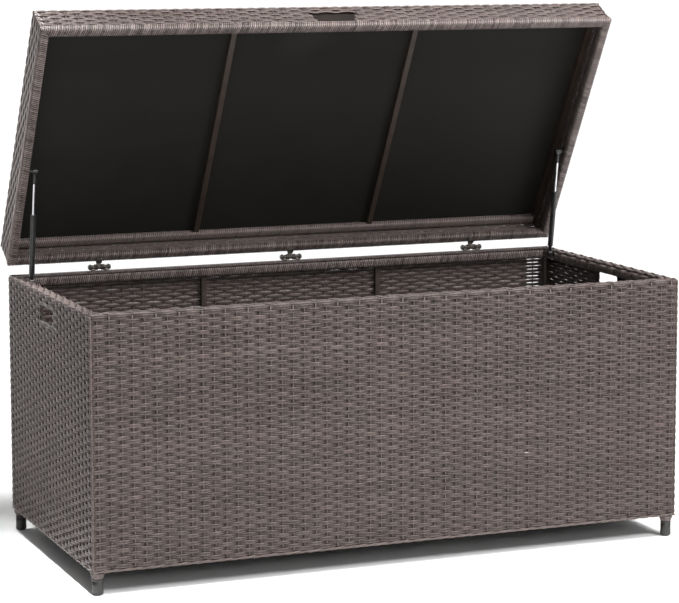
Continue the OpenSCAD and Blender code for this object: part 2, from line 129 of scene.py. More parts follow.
class Build:
    """Collects strips of quads with a tint for each, and makes one object of them."""

    def __init__(self):
        self.points, self.quads, self.tints, self.count = [], [], [], 0

    def strip(self, p, tint, ring=True, caps=True, skip=0):
        """p is (n, m, 3): n sections of m points. ring closes each section.
        skip joins the last point of a section to the first of the one skip further on."""
        n, m = p.shape[:2]
        index = np.arange(n * m).reshape(n, m) + self.count
        a, b = index[:-1], index[1:]
        quads = np.stack([a[:, :-1], b[:, :-1], b[:, 1:], a[:, 1:]], -1).reshape(-1, 4)
        self.quads.append(quads)
        if ring:
            last = index[:n - 1 - skip, -1]
            last_up = index[1:n - skip, -1]
            first = index[skip:n - 1, 0]
            first_up = index[skip + 1:, 0]
            self.quads.append(np.stack([last, last_up, first_up, first], -1))
        if ring and caps:
            for row, turn in ((0, 1), (n - 1, -1)):
                around = index[row][::turn]
                half = m // 2
                for k in range(half - 1):
                    self.quads.append(np.array([[around[k], around[k + 1],
                                                 around[m - 2 - k], around[m - 1 - k]]]))
        self.points.append(p.reshape(-1, 3))
        self.tints.append(np.broadcast_to(np.asarray(tint, float), (n, m)).reshape(-1)
                          if np.ndim(tint) else np.full(n * m, float(tint)))
        self.count += n * m

    def make(self, name, place, material):
        """One smooth-shaded object of all strips, with place applied to its points."""
        co = place(np.concatenate(self.points)).astype(np.float32)
        quads = np.concatenate(self.quads).astype(np.int32)
        mesh = bpy.data.meshes.new(name)
        mesh.vertices.add(len(co))
        mesh.vertices.foreach_set("co", co.ravel())
        mesh.loops.add(quads.size)
        mesh.loops.foreach_set("vertex_index", quads.ravel())
        mesh.polygons.add(len(quads))
        mesh.polygons.foreach_set("loop_start", np.arange(0, quads.size, 4, dtype=np.int32))
        mesh.polygons.foreach_set("use_smooth", np.full(len(quads), True))
        mesh.update(calc_edges=True)
        mesh.validate()
        tint = mesh.attributes.new("tint", "FLOAT", "POINT")
        tint.data.foreach_set("value", np.concatenate(self.tints).astype(np.float32))
        mesh.materials.append(material)
        made = bpy.data.objects.new(name, mesh)
        scene.collection.objects.link(made)
        return made


def shown(obj, body, slot, *nodes):
    """Lets a piece move with its body, and stand for the CAD nodes that it replaces."""
    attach(obj, body)
    if nodes:
        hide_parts(*nodes)
    return obj


# A strand's section: across it, in depth, and the tint. The tint is painted light: a painted highlight on
# the ridges, strongest on the upper inner one, and painted shade in the groove and on the edges between
# rows.
SECTION = np.array([(-0.50, 0.0, -6.0), (-0.32, -0.5, 3.2), (0.0, -0.10, -4.4), (0.32, -0.5, 1.2),
                    (0.50, 0.0, -6.0), (0.32, 0.5, 7.0), (0.0, 0.10, -3.0), (-0.32, 0.5, 0.0)])
# A flatter section for the lid's narrow strips, with the same painted shade on its edges between rows
BLOCK = np.array([(-0.50, -0.22, -7.0), (-0.28, -0.5, 1.6), (0.26, -0.5, 2.6), (0.50, -0.22, -7.0),
                  (0.50, 0.22, -7.0), (0.26, 0.5, 2.6), (-0.28, 0.5, 1.6), (-0.50, 0.22, -7.0)])
STAKE_SECTION = np.array([(-0.50, 0.0), (-0.25, -0.45), (0.25, -0.45),
                          (0.50, 0.0), (0.25, 0.45), (-0.25, 0.45)])
STEPS = 4               # segments of a strand from one stake to the next


def smooth_noise(count, coarse, size):
    """A smooth random line of count values."""
    knots = rng.normal(0, size, max(2, count // coarse + 2))
    return np.interp(np.linspace(0, len(knots) - 1, count), np.arange(len(knots)), knots)


def smooth_field(rows, count, coarse_rows, coarse, size):
    """A smooth random field, rows by count."""
    knots = rng.normal(0, size, (rows // coarse_rows + 2, count // coarse + 2))
    across = np.linspace(0, knots.shape[1] - 1, count)
    wide = np.stack([np.interp(across, np.arange(knots.shape[1]), k) for k in knots])
    down = np.linspace(0, knots.shape[0] - 1, rows)
    low = np.minimum(down.astype(int), knots.shape[0] - 2)
    share = (down - low)[:, None]
    share = share * share * (3 - 2 * share)
    return wide[low] * (1 - share) + wide[low + 1] * share


def weave(strands, stakes, chart, length, tall, hole=None, press=None, notch=0.03, loose=None,
          slant=0.0, swing=SWING, high=STRAND_H, thick=STRAND_T, section=SECTION):
    """Strands and stakes of a flat or bent panel. chart(s, u, n) gives the point at s along it
    from its middle, u up it and n in from its outer face. hole(s, u) is true inside an opening,
    press(s, u) where strands lie flat over a binding and the stakes stop.
    notch narrows a strand midway between stakes, and loose(s) narrows it over a stretch.
    slant tips each strand over a stake, so that the rows part at every other crossing."""
    posts = max(2, round(length / STAKE_PITCH))
    pitch = length / posts
    rows = max(1, round(tall / ROW_PITCH))
    row_pitch = tall / rows
    count = posts * STEPS + 1
    s = np.linspace(-length / 2, length / 2, count)
    wave = np.cos(math.pi * ((s + length / 2) / pitch - 0.5))
    tip = slant * np.sin(math.pi * ((s + length / 2) / pitch - 0.5))
    narrow = 1 - notch * (1 - wave ** 2) ** 3
    if loose is not None:
        narrow = narrow * (1 - loose(s))
    # The rows wander up and down together, less so near the panel's top and bottom
    drift = smooth_field(rows, count, 9, 40, 0.0009)
    fade = np.minimum(1, np.minimum(np.arange(rows) + 0.3, rows - 0.7 - np.arange(rows)) / 4)
    tone = smooth_field(rows, count, 3, 12, 0.5)
    # A stake fills the room that the strands on both sides of it leave, and in a loose weave it
    # stands a little nearer the outside
    stake_t = float(np.clip(2 * (swing + 0.0001) - thick + 0.0004, 0.0010, STAKE_T))
    stake_fore = 0.0004 if swing >= SWING else 0.0
    for row in range(rows):
        side = 1 if row % 2 else -1
        middle = (row + 0.5) * row_pitch
        height = high * min(1.0, row_pitch / ROW_PITCH) * rng.uniform(0.98, 1.02) * narrow
        swell = np.clip(1 + smooth_noise(count, 9, 0.05), 0.88, 1.08)
        centre = PANEL / 2 + side * swing * wave * swell
        if press is not None:
            pressed = np.array([press(v, middle) for v in s])
            centre = np.where(pressed, 0.0018 + side * 0.0012 * wave, centre)
        tint = rng.normal(0, 0.7) + tone[row] + smooth_noise(count, STEPS, 0.5)
        # Strands over a binding are tinted darker, a painted shade in place of the dark gaps that shade
        # the rest of the weave
        if press is not None:
            tint = tint - 3.0 * pressed
        sway = drift[row] * fade[row] + smooth_noise(count, 10, 0.00010) + side * tip
        across = middle + sway[:, None] + section[None, :, 0] * height[:, None]
        deep = centre[:, None] + section[None, :, 1] * thick
        along = np.broadcast_to(s[:, None], across.shape)
        for first, last in runs(s, middle, hole):
            part = slice(first, last)
            strands.strip(chart(along[part], across[part], deep[part]),
                          tint[part, None] + section[None, :, 2])
    for k in range(posts):
        at = -length / 2 + (k + 0.5) * pitch
        u = np.linspace(0.0006, tall - 0.0006, max(2, rows // 2))
        sway = smooth_noise(len(u), 6, 0.0004)
        width = at + sway[:, None] + STAKE_SECTION[None, :, 0] * STAKE_W
        deep = np.broadcast_to(PANEL / 2 - stake_fore + STAKE_SECTION[None, :, 1] * stake_t,
                               width.shape)
        up = np.broadcast_to(u[:, None], width.shape)
        # Stakes are tinted lighter, a painted highlight that lifts them out of the shade between the rows
        tint = rng.normal(3.4, 0.7)
        for first, last in runs(u, at, press or hole, swap=True):
            part = slice(first, last)
            stakes.strip(chart(width[part], up[part], deep[part]), tint)


def runs(line, across, hole, swap=False):
    """The stretches of a strand or stake that lie outside the opening."""
    if hole is None:
        return [(0, len(line))]
    inside = np.array([hole(across, v) if swap else hole(v, across) for v in line])
    out, start = [], None
    for k, cut in enumerate(inside):
        if not cut and start is None:
            start = k
        if cut and start is not None:
            out.append((start, k))
            start = None
    if start is not None:
        out.append((start, len(line)))
    return [r for r in out if r[1] - r[0] > 1]


# ---- charts: the sides of a box, seen from outside ----

def wall_chart(side, low, high):
    """A standing panel whose outline is the box low to high."""
    mid = (low + high) / 2

    def chart(s, u, n):
        out = np.empty(s.shape + (3,))
        out[..., 2] = low[2] + u
        if side == "front":
            out[..., 0], out[..., 1] = mid[0] + s, low[1] + n
        if side == "rear":
            out[..., 0], out[..., 1] = mid[0] - s, high[1] - n
        if side == "left":
            out[..., 0], out[..., 1] = low[0] + n, mid[1] - s
        if side == "right":
            out[..., 0], out[..., 1] = high[0] - n, mid[1] + s
        return out

    return chart


def top_chart(low, high):
    """A level panel, its outer face up, u from its front edge."""
    mid = (low + high) / 2

    def chart(s, u, n):
        out = np.empty(s.shape + (3,))
        out[..., 0] = mid[0] + s
        out[..., 1] = low[1] + u
        out[..., 2] = high[2] - n
        return out

    return chart


# ---- materials ----

def material(name):
    """A new material, its nodes and links, and its shader."""
    made = bpy.data.materials.new(name)
    made.use_nodes = True
    nodes, links = made.node_tree.nodes, made.node_tree.links
    shader = nodes["Principled BSDF"]
    return made, nodes, links, shader


def noise_texture(nodes, links, place, scale, detail=2.0):
    """A noise texture of the given scale, over place."""
    made = nodes.new("ShaderNodeTexNoise")
    made.inputs["Scale"].default_value = scale
    made.inputs["Detail"].default_value = detail
    links.new(place, made.inputs["Vector"])
    return made


def remap(nodes, links, value, low, high, out_low, out_high):
    """The value, moved from the range low to high onto out_low to out_high, and held inside it."""
    made = nodes.new("ShaderNodeMapRange")
    for socket, number in zip(("From Min", "From Max", "To Min", "To Max"),
                              (low, high, out_low, out_high)):
        made.inputs[socket].default_value = number
    links.new(value, made.inputs["Value"])
    return made.outputs["Result"]


def arithmetic(nodes, links, operation, *values):
    """The result of a sum, product and so on. Each value is a socket or a constant."""
    made = nodes.new("ShaderNodeMath")
    made.operation = operation
    for value, socket in zip(values, made.inputs):
        if isinstance(value, bpy.types.NodeSocket):
            links.new(value, socket)
        else:
            socket.default_value = value
    return made.outputs[0]


def two_tone(nodes, links, value, low, dark, high, light):
    """A ramp from dark, up to low, to light, from high on."""
    made = nodes.new("ShaderNodeValToRGB")
    for end, (at, colour) in zip(made.color_ramp.elements, ((low, dark), (high, light))):
        end.position = at
        end.color = (*colour, 1)
    links.new(value, made.inputs["Fac"])
    return made.outputs["Color"]


def fine_relief(nodes, links, shader, height, strength, distance):
    """Gives a shader the bump of a height, distance metres deep at strength 1."""
    made = nodes.new("ShaderNodeBump")
    made.inputs["Strength"].default_value = strength
    made.inputs["Distance"].default_value = distance
    links.new(height, made.inputs["Height"])
    links.new(made.outputs["Normal"], shader.inputs["Normal"])


def colour_mix(nodes, links, blend, share, base, top):
    """Mixes two colours. share and top may each be a socket or a constant."""
    made = nodes.new("ShaderNodeMix")
    made.data_type = "RGBA"
    made.blend_type = blend
    for value, socket in ((share, made.inputs[0]), (base, made.inputs[6]), (top, made.inputs[7])):
        if isinstance(value, bpy.types.NodeSocket):
            links.new(value, socket)
        else:
            socket.default_value = value
    return made.outputs[2]


# What a patch of resin is multiplied by where it leans to green, and where it leans to red
GREEN_LEAN, RED_LEAN = (0.94, 0.9306, 0.9118), (0.96, 0.90, 0.90)


def resin(name, dark, light, grain=(60, 900, 900)):
    """Grey-brown resin strand: its tint attribute, which carries random tone and painted highlight and
    shade, patches that lean to red or green, ridges lightened by wear and by a painted highlight, a fine
    grain and a satin gloss."""
    made, nodes, links, shader = material(name)
    place = nodes.new("ShaderNodeTexCoord").outputs["Object"]
    tint = nodes.new("ShaderNodeAttribute")
    tint.attribute_name = "tint"
    speck = noise_texture(nodes, links, place, 170.0, 3.0)
    patch = noise_texture(nodes, links, place, 13.0, 1.0)
    tone = arithmetic(nodes, links, "MULTIPLY_ADD", tint.outputs["Fac"], 0.055, speck.outputs["Fac"])
    shade = two_tone(nodes, links, tone, 0.20, dark, 0.80, light)
    lean = two_tone(nodes, links, patch.outputs["Fac"], 0.38, GREEN_LEAN, 0.62, RED_LEAN)
    colour = colour_mix(nodes, links, "MULTIPLY", 1.0, shade, lean)
    # Convex ridges are lightened, partly as wear and partly as a painted highlight
    ridge = nodes.new("ShaderNodeNewGeometry").outputs["Pointiness"]
    ridge_wear_and_highlight = remap(nodes, links, ridge, 0.50, 0.60, 0.0, 0.22)
    wear_and_highlight_colour = tuple(min(1.0, 1.9 * c) for c in light) + (1,)
    colour = colour_mix(nodes, links, "MIX", ridge_wear_and_highlight, colour, wear_and_highlight_colour)
    links.new(colour, shader.inputs["Base Color"])
    gloss = remap(nodes, links, speck.outputs["Fac"], 0.3, 0.7, 0.33, 0.49)
    links.new(gloss, shader.inputs["Roughness"])
    stretch = nodes.new("ShaderNodeMapping")
    stretch.inputs["Scale"].default_value = grain
    links.new(place, stretch.inputs["Vector"])
    fine = noise_texture(nodes, links, stretch.outputs["Vector"], 1.0)
    fine_relief(nodes, links, shader, fine.outputs["Fac"], 0.25, 0.0006)
    shader.inputs["Specular IOR Level"].default_value = 0.22
    return made


def coated(name, dark, light, rough=0.4, scale=90.0, metal=0.0, bump=0.12, spec=0.5, wear=None,
           wear_reach=0.0012):
    """Painted, moulded or bare hard surface with mottling, fine relief and rubbed edges."""
    made, nodes, links, shader = material(name)
    place = nodes.new("ShaderNodeTexCoord").outputs["Object"]
    noise = noise_texture(nodes, links, place, scale, 5.0)
    colour = two_tone(nodes, links, noise.outputs["Fac"], 0.35, dark, 0.68, light)
    if wear:
        # An edge is where the normal, smoothed over a short reach, leaves the face's own
        soft = nodes.new("ShaderNodeBevel")
        soft.samples = 4
        soft.inputs["Radius"].default_value = wear_reach
        face = nodes.new("ShaderNodeNewGeometry")
        turn = nodes.new("ShaderNodeVectorMath")
        turn.operation = "DOT_PRODUCT"
        links.new(soft.outputs["Normal"], turn.inputs[0])
        links.new(face.outputs["Normal"], turn.inputs[1])
        edge = remap(nodes, links, turn.outputs["Value"], 0.99, 0.85, 0.0, 0.7)
        broken = arithmetic(nodes, links, "MULTIPLY", edge, noise.outputs["Fac"])
        colour = colour_mix(nodes, links, "MIX", broken, colour, (*wear, 1))
    links.new(colour, shader.inputs["Base Color"])
    gloss = remap(nodes, links, noise.outputs["Fac"], 0.3, 0.7, max(0.05, rough - 0.06), rough + 0.08)
    links.new(gloss, shader.inputs["Roughness"])
    fine = noise_texture(nodes, links, place, scale * 9)
    fine_relief(nodes, links, shader, fine.outputs["Fac"], bump, 0.0003)
    shader.inputs["Metallic"].default_value = metal
    shader.inputs["Specular IOR Level"].default_value = spec
    return made


WEAVE = resin("woven_resin", (0.017, 0.0125, 0.0115), (0.122, 0.097, 0.0905))
WOUND = resin("wound_resin", (0.018, 0.014, 0.013), (0.200, 0.166, 0.157), grain=(900, 200, 200))
EDGING = resin("edging_resin", (0.038, 0.030, 0.027), (0.128, 0.104, 0.098))
PAINT = coated("brown_paint", (0.024, 0.016, 0.012), (0.042, 0.028, 0.021), rough=0.45, scale=35,
               wear=(0.13, 0.10, 0.085))
LINER = coated("black_liner", (0.0125, 0.0120, 0.0105), (0.0150, 0.0143, 0.0125), rough=0.75, scale=14,
               bump=0.3, spec=0.12)
PLASTIC = coated("black_plastic", (0.016, 0.016, 0.014), (0.028, 0.027, 0.025), rough=0.5, scale=60,
                 wear=(0.09, 0.088, 0.083))
STEEL = coated("black_steel", (0.008, 0.008, 0.008), (0.016, 0.016, 0.016), rough=0.32, scale=70,
               wear=(0.07, 0.07, 0.07), wear_reach=0.0006)
CHROME = coated("bright_rod", (0.62, 0.62, 0.63), (0.75, 0.75, 0.76), rough=0.14, scale=40, metal=1.0,
                bump=0.02)
HINGE_METAL = coated("hinge_metal", (0.045, 0.038, 0.033), (0.10, 0.086, 0.076), rough=0.34, scale=120,
                     metal=0.4, wear=(0.42, 0.38, 0.34), wear_reach=0.0008)
BOLT = coated("dark_fastener", (0.012, 0.012, 0.012), (0.035, 0.033, 0.032), rough=0.35, scale=150,
              metal=0.6, wear=(0.16, 0.155, 0.15), wear_reach=0.0005)

# ---- woven walls ----

HAND_W, HAND_H, HAND_R = 0.097, 0.040, 0.009    # opening of a hand-hold, and its corners
trim_low, trim_high = body_box("hand_hold_trims")


def rear_slack(s):
    """The rear wall's rows stand apart beside its right-hand corner post. Its s runs to the left."""
    return np.where((s > -0.712) & (s < -0.676), 0.17, 0.0)


def right_close(s):
    """The right wall's rows crowd together beside its hand-hold."""
    return np.where(np.abs(s) < 0.110, -0.08, 0.0)


SLACK = {"rear": {"loose": rear_slack, "notch": 0.04, "swing": 0.0021},
         "right": {"loose": right_close, "notch": 0.06, "slant": 0.00045, "high": 0.0100,
                   "swing": 0.0013, "thick": 0.0030}}
WALLS = {"front": "front_weave", "rear": "rear_weave", "left": "left_weave", "right": "right_weave"}
for side, node in WALLS.items():
    low, high = body_box(node)
    chart = wall_chart(side, low, high)
    across = side_length(side, low, high)
    hole = press = None
    if side in ("left", "right"):
        half = (trim_high[1] - trim_low[1]) / 2
        z_mid = (trim_low[2] + trim_high[2]) / 2 - low[2]

        def press(s, u, half=half, z_mid=z_mid):
            return abs(s) < half + 0.002 and abs(u - z_mid) < HAND_H / 2 + 0.003

        def hole(s, u, z_mid=z_mid):
            x, z = abs(s) - HAND_W / 2 + HAND_R, abs(u - z_mid) - HAND_H / 2 + HAND_R
            return math.hypot(max(x, 0), max(z, 0)) + min(max(x, z), 0) < HAND_R + 0.001
    strands, stakes = Build(), Build()
    weave(strands, stakes, chart, across, high[2] - low[2], hole=hole, press=press,
          **SLACK.get(side, {}))
    shown(strands.make("woven_" + side, body_place, WEAVE), "box", "woven_resin", node)
    shown(stakes.make("stakes_" + side, body_place, WEAVE), "box", "woven_resin")

# ---- lid skin ----

grip_low_half, grip_high_half = 0.044, 0.059    # half the grip slot's width, below and above
# The lid's side strips are narrow, so their strands lie flatter and closer
packed = {"swing": 0.0012, "high": 0.0103, "thick": 0.0034, "notch": 0.0, "section": BLOCK}
pinholed = {"swing": 0.0010, "high": 0.0102, "thick": 0.0032, "notch": 0.08, "slant": 0.0006,
            "section": BLOCK}
CLOSE = {"front": {"swing": 0.0018, "high": 0.0098}, "rear": pinholed, "left": packed, "right": packed}
LID_WALLS = {"front": "lid_front_weave", "rear": "lid_rear_weave",
             "left": "lid_left_weave", "right": "lid_right_weave"}
for side, node in LID_WALLS.items():
    low, high = lid_box(node)
    chart = wall_chart(side, low, high)
    across = side_length(side, low, high)
    hole = None
    if side == "front":
        frame_low = lid_box("lid_top_frame")[0][2]
        slot_top = frame_low - 0.001 - low[2]

        def hole(s, u, slot_top=slot_top):
            share = min(1.0, max(0.0, u / slot_top))
            half = grip_low_half + (grip_high_half - grip_low_half) * share
            return abs(s) < half and 0.004 < u < slot_top
    strands, stakes = Build(), Build()
    weave(strands, stakes, chart, across, high[2] - low[2], hole=hole, **CLOSE.get(side, {}))
    shown(strands.make("lid_woven_" + side, lid_place, WEAVE), "lid", "woven_resin", node)
    shown(stakes.make("lid_stakes_" + side, lid_place, WEAVE), "lid", "woven_resin")

low, high = lid_box("lid_top_weave")
strands, stakes = Build(), Build()
weave(strands, stakes, top_chart(low, high), high[0] - low[0], high[1] - low[1])
shown(strands.make("lid_woven_top", lid_place, WEAVE), "lid", "woven_resin", "lid_top_weave")
shown(stakes.make("lid_stakes_top", lid_place, WEAVE), "lid", "woven_resin")

# ---- windings round square tubes ----

TURN_STEPS = 4          # sections of a winding in one strand's width
STARTS = 4              # strands wound side by side
RING_POINTS = 16        # points round a wound bar
SQUARENESS = 6.6946     # how sharp a wound bar's corners are


def square_ring(size):
    """Points round a square with rounded corners, from the middle of its upper side."""
    angle = math.pi / 2 + np.linspace(0, 2 * math.pi, RING_POINTS, endpoint=False)
    c, s = np.cos(angle), np.sin(angle)
    r = (np.abs(c) ** SQUARENESS + np.abs(s) ** SQUARENESS) ** (-1 / SQUARENESS)
    return np.stack([c * r, s * r], -1) * size / 2


def turn_tints(tone, turns, crest):
    """A tint for each turn of a winding, and a painted shade, near black, in the grooves between them."""
    tint = np.repeat(rng.normal(tone, 2.4, turns + 1), TURN_STEPS)[:len(crest)]
    return np.where(crest < 0.1, -14.0, tint)


def winding(build, chart, length, mitre, size=WRAP_SIZE, high=None, tone=1.0):
    """Strands wound closely round a bar. chart(s, q, z) takes s along the bar from its middle,
    q in from its outer face and z up from its underside. mitre cuts both ends at 45 degrees."""
    turns = max(4, round(length / WRAP_PITCH))
    pitch = length / turns
    lead = STARTS * pitch
    count = (turns + STARTS) * TURN_STEPS + 1
    s = np.linspace(-length / 2 - lead, length / 2, count)
    ring = square_ring(size)
    if high:
        ring = ring * np.array([1.0, high / size])
    phase = 2 * math.pi * (s / pitch)
    lean = np.arange(RING_POINTS) / RING_POINTS
    crest = np.abs(np.cos(phase / 2))
    groove = 1 - 0.13 * (1 - crest[:, None])
    ripple = 1 + np.clip(smooth_noise(count, TURN_STEPS, 0.012), -0.02, 0.012)[:, None]
    q = size / 2 - ring[None, :, 0] * groove * ripple
    z = (high or size) / 2 + ring[None, :, 1] * groove * ripple
    along = s[:, None] + lead * lean[None, :] + smooth_noise(count, TURN_STEPS, 0.0004)[:, None]
    if mitre:
        limit = length / 2 - q - GAP / 2
        along = np.clip(along, -limit, limit)
    else:
        along = np.clip(along, -length / 2, length / 2)
    tint = turn_tints(tone, turns + STARTS, crest)
    build.strip(chart(along, q, z), np.broadcast_to(tint[:, None], along.shape),
                skip=STARTS * TURN_STEPS, caps=False)


def wound_ring(name, node, box, place, body):
    """The windings of four bars that meet in mitres."""
    low, high = box(node)
    build = Build()
    for side in SIDES:
        wall = wall_chart(side, low, high)
        across = side_length(side, low, high)
        winding(build, lambda s, q, z, wall=wall: wall(s, z, q), across, mitre=True)
    return shown(build.make(name, place, WOUND), body, "wrapped_resin", node)


wound_ring("rim_winding", "rim_wrap", body_box, body_place, "box")
wound_ring("lid_rim_winding", "lid_rim_wrap", lid_box, lid_place, "lid")

low, high = lid_box("lid_rear_tube_wrap")
build = Build()
rear_wall = wall_chart("rear", low, high)
# This winding is tinted lighter (tone 7.0), a painted highlight against the shade it sits in
winding(build, lambda s, q, z: rear_wall(s, z, q), high[0] - low[0], mitre=False,
        size=high[1] - low[1], high=high[2] - low[2], tone=7.0)
shown(build.make("lid_rear_tube_winding", lid_place, WOUND), "lid", "wrapped_resin", "lid_rear_tube_wrap")

# ---- the woven fold over the body's rim ----

FOLD_STRAND_T = 0.0020
FOLD_EASING = 0.045     # stretch at each corner over which the weave closes up to the mitre


def fold_path(rise, wide, drop, outer_r, inner_r):
    """Points (q, z) along the fold's outer surface, and how far along it each one is."""
    points = [(0.0, -rise)]
    for k in range(7):
        a = math.pi / 2 * k / 6
        points.append((outer_r - outer_r * math.cos(a), -outer_r + outer_r * math.sin(a)))
    for k in range(7):
        a = math.pi / 2 * k / 6
        points.append((wide - inner_r + inner_r * math.sin(a), -inner_r + inner_r * math.cos(a)))
    points.append((wide, -drop))
    points = np.array(points)
    step = np.linalg.norm(np.diff(points, axis=0), axis=1)
    keep = np.concatenate([[True], step > 1e-7])
    points = points[keep]
    length = np.concatenate([[0], np.cumsum(np.linalg.norm(np.diff(points, axis=0), axis=1))])
    return points, length


def laid_across(build, chart, length, wide):
    """Strands laid side by side over the fold, leaning as the winding below them does."""
    turns = round(length / WRAP_PITCH)
    pitch = length / turns
    s = np.linspace(-length / 2, length / 2, turns * TURN_STEPS + 1)
    crest = np.abs(np.cos(math.pi * s / pitch))
    u = np.linspace(0, wide, 14)
    out = np.broadcast_to(0.0010 * (1 - crest)[:, None], (len(s), len(u)))
    lean = STARTS * pitch / 8 * (2 * u / wide - 1)
    along = np.clip(s[:, None] + lean[None, :], -length / 2, length / 2)
    inner = np.full(out.shape, FOLD_STRAND_T)
    tint = turn_tints(1.0, turns, crest)
    build.strip(chart(np.concatenate([along, along[:, ::-1]], 1),
                      np.broadcast_to(np.concatenate([u, u[::-1]]), (len(s), 2 * len(u))),
                      np.concatenate([out, inner], 1)),
                np.broadcast_to(tint[:, None], (len(s), 2 * len(u))))


low, high = body_box("rim_cover")
cover_t = high[2] - low[2]
cover_wide = 0.0283     # from the fold's outer face to its inner one
path, path_len = fold_path(cover_t, cover_wide, cover_t, 0.0048, 0.0035)
tangent = np.gradient(path, path_len, axis=0)
tangent /= np.linalg.norm(tangent, axis=1)[:, None]
build, fold_stakes = Build(), Build()
for side in SIDES:
    wall = wall_chart(side, low, high)
    across = side_length(side, low, high)

    def chart(s, u, n, wall=wall, across=across):
        q0 = np.interp(u, path_len, path[:, 0])
        z0 = np.interp(u, path_len, path[:, 1])
        tq = np.interp(u, path_len, tangent[:, 0])
        tz = np.interp(u, path_len, tangent[:, 1])
        size = np.hypot(tq, tz)
        q = q0 + n * tz / size
        z = z0 - n * tq / size
        limit = across / 2 - q - GAP / 2
        start = across / 2 - FOLD_EASING
        over = np.maximum(np.abs(s) - start, 0) / FOLD_EASING
        s = np.sign(s) * (np.minimum(np.abs(s), start) + over * (limit - start))
        return wall(s, cover_t + z, q)

    if side == "rear":
        laid_across(build, chart, across, path_len[-1])
    else:
        weave(build, fold_stakes, chart, across, path_len[-1], swing=0.0015)
shown(build.make("rim_fold", body_place, WEAVE), "box", "woven_resin", "rim_cover")
shown(fold_stakes.make("rim_fold_stakes", body_place, WEAVE), "box", "woven_resin")

# ---- edgings ----

def strand_along(build, points, normals, binormals, wide, thick, tint):
    """A strand swept along points."""
    p = (points[:, None, :] + normals[:, None, :] * SECTION[None, :, 0, None] * wide
         + binormals[:, None, :] * SECTION[None, :, 1, None] * thick)
    build.strip(p, tint)


def corner_turns(build, low, high, z_low, tall):
    """Short strands that carry each woven row round the four upright corners, over a round stake."""
    rows = max(1, round(tall / ROW_PITCH))
    row_pitch = tall / rows
    for sx in (-1, 1):
        for sy in (-1, 1):
            corner = np.array([(low if sx < 0 else high)[0], (low if sy < 0 else high)[1]])
            for row in range(rows):
                z = z_low + (row + 0.5) * row_pitch
                depth = 0.0013 + (0.0006 if row % 2 else 0.0)
                reach, radius = PANEL + 0.0006, 0.0036
                line = [(reach, PANEL / 2)]
                for k in range(7):
                    a = math.pi / 2 * k / 6
                    centre = depth + radius
                    line.append((centre - radius * math.sin(a), centre - radius * math.cos(a)))
                line.append((PANEL / 2, reach))
                line = np.array(line)
                way = np.gradient(line, axis=0)
                way /= np.linalg.norm(way, axis=1)[:, None]
                inward = np.stack([-way[:, 1], way[:, 0]], -1)
                points = np.empty((len(line), 3))
                points[:, 0] = corner[0] - sx * line[:, 0]
                points[:, 1] = corner[1] - sy * line[:, 1]
                points[:, 2] = z
                inner = np.zeros((len(line), 3))
                inner[:, 0], inner[:, 1] = -sx * inward[:, 0], -sy * inward[:, 1]
                up = np.broadcast_to(np.array([0, 0, 1.0]), points.shape)
                strand_along(build, points, up, inner, STRAND_H * 0.98, STRAND_T, rng.normal(0, 1))
            z = np.linspace(z_low, z_low + tall, 4)
            stake = np.empty((4, 3))
            stake[:, 0], stake[:, 1] = corner[0] - sx * 0.0044, corner[1] - sy * 0.0044
            stake[:, 2] = z
            strand_along(build, stake, np.tile([1.0, 0, 0], (4, 1)), np.tile([0, 1.0, 0], (4, 1)),
                         0.0034, 0.0034, 0.0)


low, high = body_box("corner_edging")
skin_low, skin_high = body_box("front_weave")
build = Build()
corner_turns(build, low, high, skin_low[2], skin_high[2] - skin_low[2])
shown(build.make("corner_turns", body_place, EDGING), "box", "edging_resin", "corner_edging")

low, high = lid_box("lid_corner_edging")
build = Build()
corner_turns(build, low, high, low[2], high[2] - low[2])
shown(build.make("lid_corner_turns", lid_place, EDGING), "lid", "edging_resin", "lid_corner_edging")


BORDER_HALF_W, BORDER_HALF_T = 0.0024, 0.0015


def twisted_pair(build, wall, length, tall, thick):
    """A border of two strands laid round each other, its ends cut at 45 degrees."""
    count = max(8, round(length / 0.006))
    s = np.linspace(-length / 2, length / 2, count)
    turn = 2 * math.pi * s / (2 * STAKE_PITCH)
    for k in (0, 1):
        angle = turn + k * math.pi
        u = tall / 2 + (tall / 2 - BORDER_HALF_W) * np.cos(angle)
        n = thick / 2 + (thick / 2 - BORDER_HALF_T - 0.0001) * np.sin(angle)
        ring = []
        for a in np.linspace(0, 2 * math.pi, 6, endpoint=False):
            ring.append((BORDER_HALF_W * math.cos(a), BORDER_HALF_T * math.sin(a)))
        ring = np.array(ring)
        uu = u[:, None] + ring[None, :, 0]
        nn = np.clip(n[:, None] + ring[None, :, 1], 0.0001, thick)
        limit = length / 2 - nn - GAP / 2
        ss = np.clip(np.broadcast_to(s[:, None], uu.shape), -limit, limit)
        build.strip(wall(ss, uu, nn), smooth_noise(count, 10, 0.8)[:, None])


def border_ring(name, node, box, place, body):
    """A twisted border along all four sides."""
    low, high = box(node)
    build = Build()
    for side in SIDES:
        across = side_length(side, low, high)
        twisted_pair(build, wall_chart(side, low, high), across, high[2] - low[2], PANEL)
    return shown(build.make(name, place, EDGING), body, "edging_resin", node)


border_ring("bottom_border", "bottom_edging", body_box, body_place, "box")
border_ring("lid_top_border", "lid_top_edging", lid_box, lid_place, "lid")

# ---- bound edges of the hand-holds ----

def outline(wide, tall, radius, count):
    """count points round a rectangle with round corners, evenly by length."""
    corners = []
    for cx, cy, start in ((1, 1, 0), (-1, 1, 90), (-1, -1, 180), (1, -1, 270)):
        for k in range(9):
            a = math.radians(start + 90 * k / 8)
            corners.append((cx * (wide / 2 - radius) + radius * math.cos(a),
                            cy * (tall / 2 - radius) + radius * math.sin(a)))
    corners.append(corners[0])
    corners = np.array(corners)
    length = np.concatenate([[0], np.cumsum(np.linalg.norm(np.diff(corners, axis=0), axis=1))])
    at = np.linspace(0, length[-1], count, endpoint=False)
    return np.stack([np.interp(at, length, corners[:, k]) for k in (0, 1)], -1)


